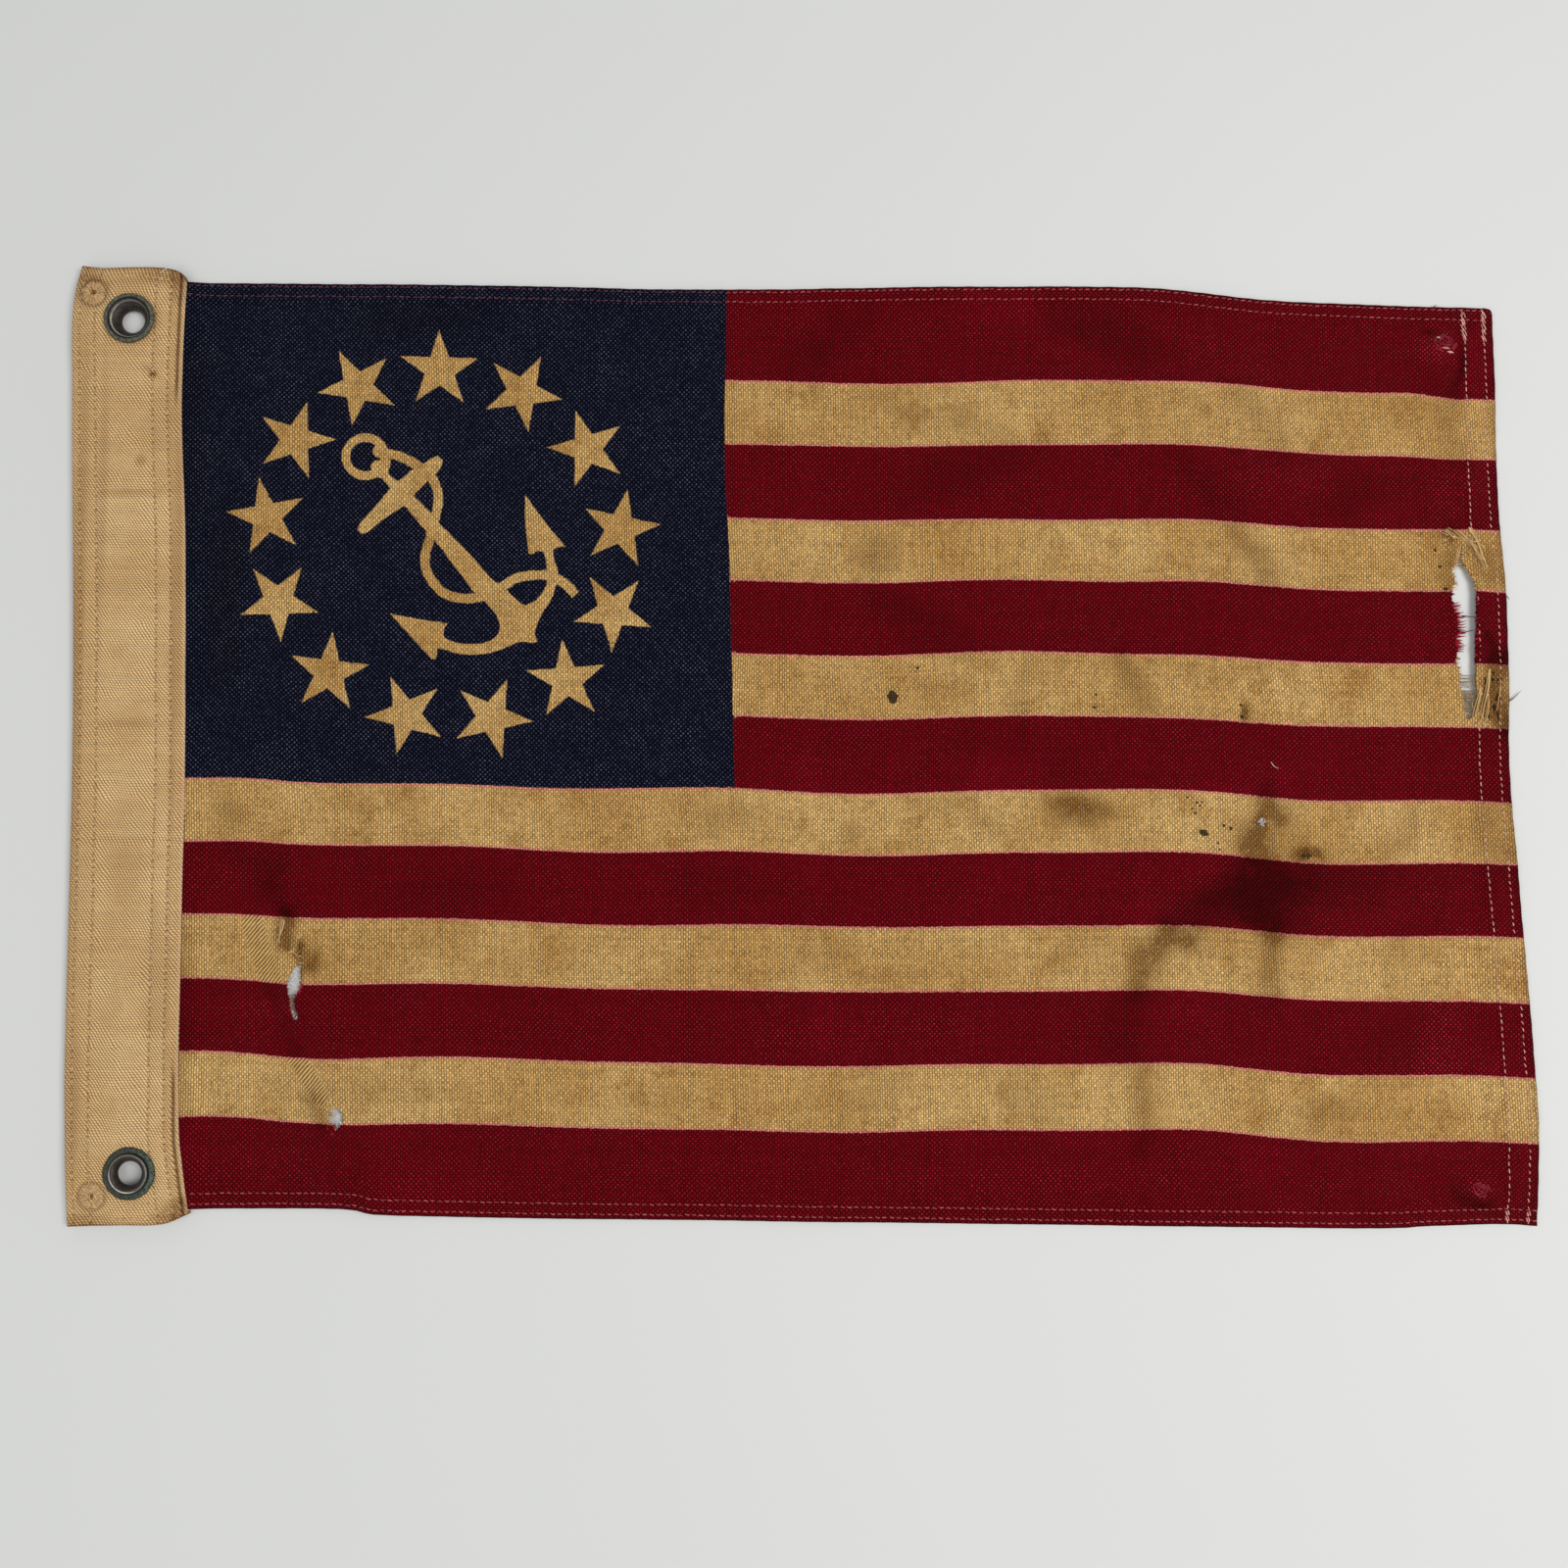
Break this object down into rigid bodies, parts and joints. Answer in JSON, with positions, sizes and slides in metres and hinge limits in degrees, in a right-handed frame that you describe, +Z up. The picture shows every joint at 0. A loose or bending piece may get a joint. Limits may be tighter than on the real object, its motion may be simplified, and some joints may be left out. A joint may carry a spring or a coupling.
{
  "type": "tattered cotton flag laid flat",
  "caption": "Small rectangular printed cotton ensign, worn and torn, lying flat, with a folded canvas heading and brass grommets to hoist it by.",
  "frame": {"origin": "middle of the flag's outline, on the surface that it lies on", "axes": "+X from the heading to the fly, +Y up the hoist, +Z up from the surface, out of the face"},
  "size_m": [0.4656, 0.307, 0.0063],
  "materials": {
    "printed_cotton": "matte plain weave, printed navy, crimson and left cream, yellowed and stained",
    "canvas": "matte tan cotton duck, soiled at its edges",
    "brass": "dark tarnished brass with green patina and worn bright edges"
  },
  "bodies": {
    "root": {"field": "printed_cotton", "heading": "canvas", "grommet_upper": "brass", "washer_upper": "brass", "grommet_lower": "brass", "washer_lower": "brass"}
  },
  "joints": []
}
